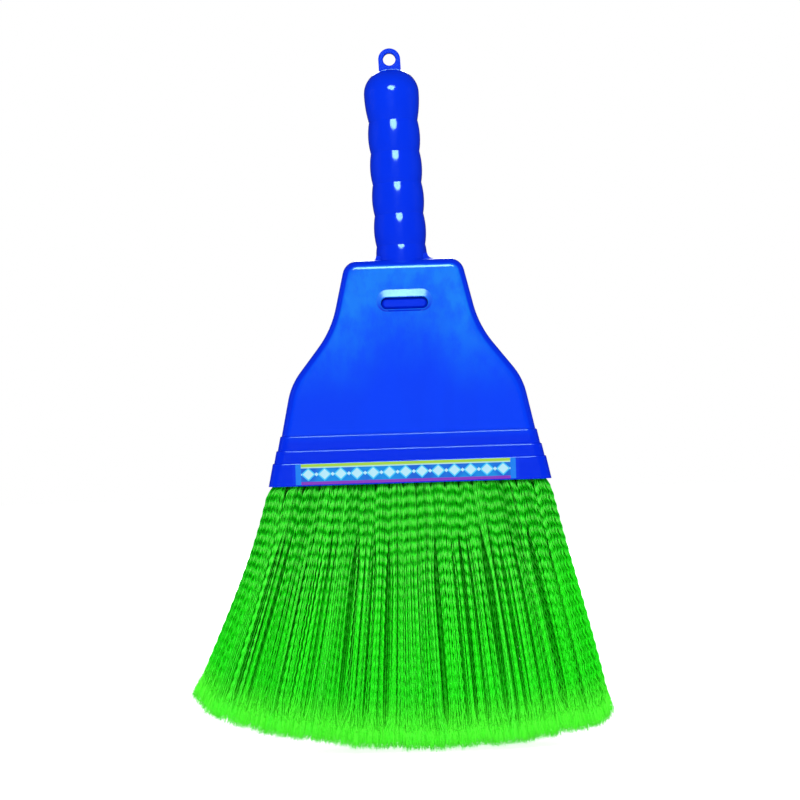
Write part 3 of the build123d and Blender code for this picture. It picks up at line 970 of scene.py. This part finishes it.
class HANDBROOM_OT_label(bpy.types.Operator):
    """Print the label on the lowest hem band"""

    bl_idname = "handbroom.label"
    bl_label = "Print Label"

    # Sizes in millimetres. A line's place is its distance from the label's upper or lower edge.
    LOZENGE_HALF_WIDTH = 4.3
    LOZENGE_HALF_HEIGHT = 3.9
    DOT_RADIUS = 1.2
    PALE_LINE_AT = 2.4
    LIME_LINE_AT = 1.7
    PURPLE_LINE_AT = 1.75
    END_WIDTH = 5.1
    MARGIN_WIDTH = 1.9
    EDGE = 0.1

    DEEP_GROUND = (0.01, 0.10, 0.55)
    HALO_BLUE = (0.05, 0.46, 0.76)
    LOZENGE_BLUE = (0.38, 0.64, 0.74)
    PALE_LINE = (0.36, 0.62, 0.55)
    LIME_LINE = (0.30, 0.50, 0.04)
    PURPLE_LINE = (0.20, 0.03, 0.42)
    END_BLUE = (0.01, 0.17, 0.70)
    WORN_BLUE = (0.5, 0.7, 0.85)
    FILM_TINT = (0.4, 0.9, 1.0, 1.0)

    def execute(self, context):
        settings = context.scene.hand_broom
        finish = Finish("label_print")
        place = finish.millimetres()
        across, _, height = finish.axes(place)
        centre = middle(LABEL_LOW, LABEL_HIGH) / MM
        half_width = (LABEL_HIGH.x - LABEL_LOW.x) / 2 / MM
        low, high = LABEL_LOW.z / MM, LABEL_HIGH.z / MM
        pitch = settings.label.mark_pitch / MM
        blot = finish.noise(place, pitch=0.8, detail=3.0)
        patches = finish.noise(place, pitch=14.0).ramp(0.35, 0.65)
        aside = across - centre.x
        rise = abs(height - centre.z)
        from_mark = abs((aside + pitch / 2).wrap(pitch) - pitch / 2)
        from_dot = abs(aside.wrap(pitch) - pitch / 2)
        spread = from_mark / self.LOZENGE_HALF_WIDTH + rise / self.LOZENGE_HALF_HEIGHT
        lozenge = spread.within(0.77, 0.03)
        dot = (from_dot + rise).within(self.DOT_RADIUS, self.EDGE)
        from_middle = abs(aside)
        base = finish.coats(
            settings.label.ground_blue,
            (patches, self.DEEP_GROUND),
            (spread.within(1.03, 0.03), self.HALO_BLUE),
            (lozenge.larger(dot), self.LOZENGE_BLUE),
            (height.beyond(high - self.PALE_LINE_AT, self.EDGE), self.PALE_LINE),
            (height.beyond(high - self.LIME_LINE_AT, self.EDGE), self.LIME_LINE),
            (height.within(low + self.PURPLE_LINE_AT, self.EDGE * 1.5), self.PURPLE_LINE),
            (from_middle.beyond(half_width - self.END_WIDTH, self.EDGE), self.END_BLUE),
            (
                from_middle.beyond(half_width - self.MARGIN_WIDTH, self.EDGE),
                settings.plastic.handle_blue,
            ),
            (blot.ramp(0.55, 0.8, 0.0, 0.03), self.WORN_BLUE),
        )
        wrinkle = finish.noise(finish.millimetres((1.0, 1.0, 0.3)), pitch=7.0, detail=3.0)
        finish.surface(
            base_color=base,
            roughness=0.20 + blot * 0.10,
            specular_ior_level=0.35,
            specular_tint=self.FILM_TINT,
            normal=finish.bump(wrinkle, 0.06 * MM),
        )
        repaint("label", finish)
        return {"FINISHED"}


class HANDBROOM_OT_stage(bpy.types.Operator):
    """Set up the floor, the soft light and the camera"""

    bl_idname = "handbroom.stage"
    bl_label = "Set Up Stage"

    FLOOR_HALF_WIDTH = 4.0
    FLOOR_PAINT = 0.82
    FLOOR_SHEEN = 0.80
    FLOOR_GLOW = 0.84
    SKY_LIGHT = 0.28
    SKY_WHITE = 1.0
    TENT_RADIUS = 3.5
    TENT_LIFT = 0.2 * MM
    TENT_GREY = 0.03

    # Size in metres, power in watts, azimuth and elevation in degrees, and distance in metres.
    SOFTBOXES = {
        "key_softbox": ((0.75, 0.48), 14.5, (0.0, 28.5), 1.6),
        "back_softbox": ((0.6, 0.4), 5.0, (180.0, 28.5), 1.6),
    }
    FILLS = {
        "front_fill": ((1.2, 1.2), 14.0, (-4.0, 5.0), 2.0),
        "back_fill": ((1.2, 1.2), 14.0, (180.0, 12.0), 2.0),
        "left_fill": ((1.2, 1.2), 9.0, (-90.0, 12.0), 2.0),
        "right_fill": ((1.2, 1.2), 9.0, (90.0, 12.0), 2.0),
    }

    def execute(self, context):
        self.floor()
        self.sky(context)
        self.tent()
        for name, facts in self.SOFTBOXES.items():
            self.lamp(name, *facts)
        for name, facts in self.FILLS.items():
            self.lamp(name, *facts).visible_glossy = False
        self.camera(context)
        context.scene.view_settings.view_transform = "Standard"
        return {"FINISHED"}

    def empty_nodes(self, block):
        """The emptied nodes of a material or a world."""
        block.use_nodes = True
        block.node_tree.nodes.clear()
        return Nodes(block.node_tree)

    def grey(self, value):
        """A grey as a socket takes it."""
        return value, value, value, 1.0

    def seen(self, nodes):
        """A share of 1 for camera, glossy and transmission rays, and 0 for the rest."""
        camera = nodes.node("ShaderNodeLightPath", output="Is Camera Ray")
        return camera.larger(camera.out("Is Glossy Ray")).larger(camera.out("Is Transmission Ray"))

    def backdrop(self, name, mesh, material_name):
        """An object with the mesh of a backdrop, and the emptied nodes of its material."""
        material = bpy.data.materials.new(material_name)
        mesh.materials.append(material)
        return add_object(name, mesh), self.empty_nodes(material)

    def floor(self):
        """A plain pale floor, which keeps the broom's shadow."""
        mesh = bpy.data.meshes.new("floor")
        half = self.FLOOR_HALF_WIDTH
        corners = [(-half, -half, 0), (half, -half, 0), (half, half, 0), (-half, half, 0)]
        mesh.from_pydata(corners, [], [(0, 1, 2, 3)])
        floor, nodes = self.backdrop("floor", mesh, "floor_paint")
        paint, sheen = (
            nodes.node("ShaderNodeBsdfDiffuse", values={"Color": self.grey(value)})
            for value in (self.FLOOR_PAINT, self.FLOOR_SHEEN)
        )
        glow = nodes.node("ShaderNodeEmission", values={"Strength": self.FLOOR_GLOW})
        both = nodes.node("ShaderNodeAddShader", values={0: sheen, 1: glow})
        pick = nodes.node("ShaderNodeMixShader", values={0: self.seen(nodes), 1: paint, 2: both})
        nodes.node("ShaderNodeOutputMaterial", values={"Surface": pick})

    def sky(self, context):
        """Even light from all round, seen as white behind the broom."""
        world = bpy.data.worlds.new("studio")
        context.scene.world = world
        nodes = self.empty_nodes(world)
        light, white = (
            nodes.node(
                "ShaderNodeBackground", values={"Color": self.grey(1.0), "Strength": strength},
            )
            for strength in (self.SKY_LIGHT, self.SKY_WHITE)
        )
        pick = nodes.node("ShaderNodeMixShader", values={0: self.seen(nodes), 1: light, 2: white})
        nodes.node("ShaderNodeOutputWorld", values={"Surface": pick})

    def tent(self):
        """A dark tent that only reflections see, as black flags keep a glossy colour deep."""
        mesh = bpy.data.meshes.new("dark_tent")
        shell = bmesh.new()
        bmesh.ops.create_uvsphere(shell, u_segments=48, v_segments=24, radius=self.TENT_RADIUS)
        bmesh.ops.bisect_plane(
            shell, geom=shell.verts[:] + shell.edges[:] + shell.faces[:],
            plane_co=(0, 0, self.TENT_LIFT), plane_no=(0, 0, 1), clear_inner=True,
        )
        bmesh.ops.holes_fill(shell, edges=[edge for edge in shell.edges if edge.is_boundary])
        shell.to_mesh(mesh)
        shell.free()
        tent, nodes = self.backdrop("dark_tent", mesh, "tent_cloth")
        glow = nodes.node("ShaderNodeEmission", values={"Color": self.grey(self.TENT_GREY)})
        nodes.node("ShaderNodeOutputMaterial", values={"Surface": glow})
        for ray in ("camera", "diffuse", "transmission", "volume_scatter", "shadow"):
            setattr(tent, f"visible_{ray}", False)

    def lamp(self, name, size, power, direction, distance):
        """A softbox at an azimuth and elevation, facing the broom."""
        light = bpy.data.lights.new(name, "AREA")
        light.shape = "ELLIPSE"
        light.size, light.size_y = size
        light.energy = power
        azimuth, elevation = (math.radians(angle) for angle in direction)
        away = Vector((
            math.sin(azimuth) * math.cos(elevation),
            -math.cos(azimuth) * math.cos(elevation),
            math.sin(elevation),
        ))
        lamp = add_object(name, light)
        lamp.location = middle(*CAD_BOX) + away * distance
        lamp.rotation_euler = away.to_track_quat("Z", "Y").to_euler()
        lamp.visible_camera = False
        return lamp

    def camera(self, context):
        """A long lens, level with the hood and square to the front."""
        settings = context.scene.hand_broom.stage
        data = bpy.data.cameras.new("camera")
        data.lens = settings.lens
        camera = add_object("camera", data)
        distance = settings.picture_width * data.lens / data.sensor_width
        camera.location = Vector(settings.aim) - Vector((0, distance, 0))
        camera.rotation_euler = (math.radians(90), settings.roll, 0)
        context.scene.camera = camera


class HANDBROOM_PT_sidebar(bpy.types.Panel):
    """Steps that dress the hand broom, in order"""

    bl_label = "Hand Broom"
    bl_idname = "HANDBROOM_PT_sidebar"
    bl_space_type = "VIEW_3D"
    bl_region_type = "UI"
    bl_category = "Hand Broom"

    def draw(self, context):
        settings = context.scene.hand_broom
        for step in STEPS:
            self.layout.operator(step.bl_idname)
        for group in (settings.plastic, settings.bristles, settings.label, settings.stage):
            box = self.layout.box()
            for name in group.__annotations__:
                box.prop(group, name)


STEPS = (
    HANDBROOM_OT_stage,
    HANDBROOM_OT_plastic,
    HANDBROOM_OT_fittings,
    HANDBROOM_OT_bristles,
    HANDBROOM_OT_label,
)
CLASSES = (
    PlasticSettings,
    BristleSettings,
    LabelSettings,
    StageSettings,
    HandBroomSettings,
    *STEPS,
    HANDBROOM_PT_sidebar,
)


def register():
    """Adds the settings, the steps and the panel to Blender."""
    for cls in CLASSES:
        bpy.utils.register_class(cls)
    bpy.types.Scene.hand_broom = PointerProperty(type=HandBroomSettings)


def unregister():
    """Takes the settings, the steps and the panel out of Blender."""
    del bpy.types.Scene.hand_broom
    for cls in reversed(CLASSES):
        bpy.utils.unregister_class(cls)


def main():
    """Dresses the broom."""
    register()
    bpy.ops.handbroom.stage()
    bpy.ops.handbroom.plastic()
    bpy.ops.handbroom.fittings()
    bpy.ops.handbroom.bristles()
    bpy.ops.handbroom.label()


if __name__ == "__main__":
    main()
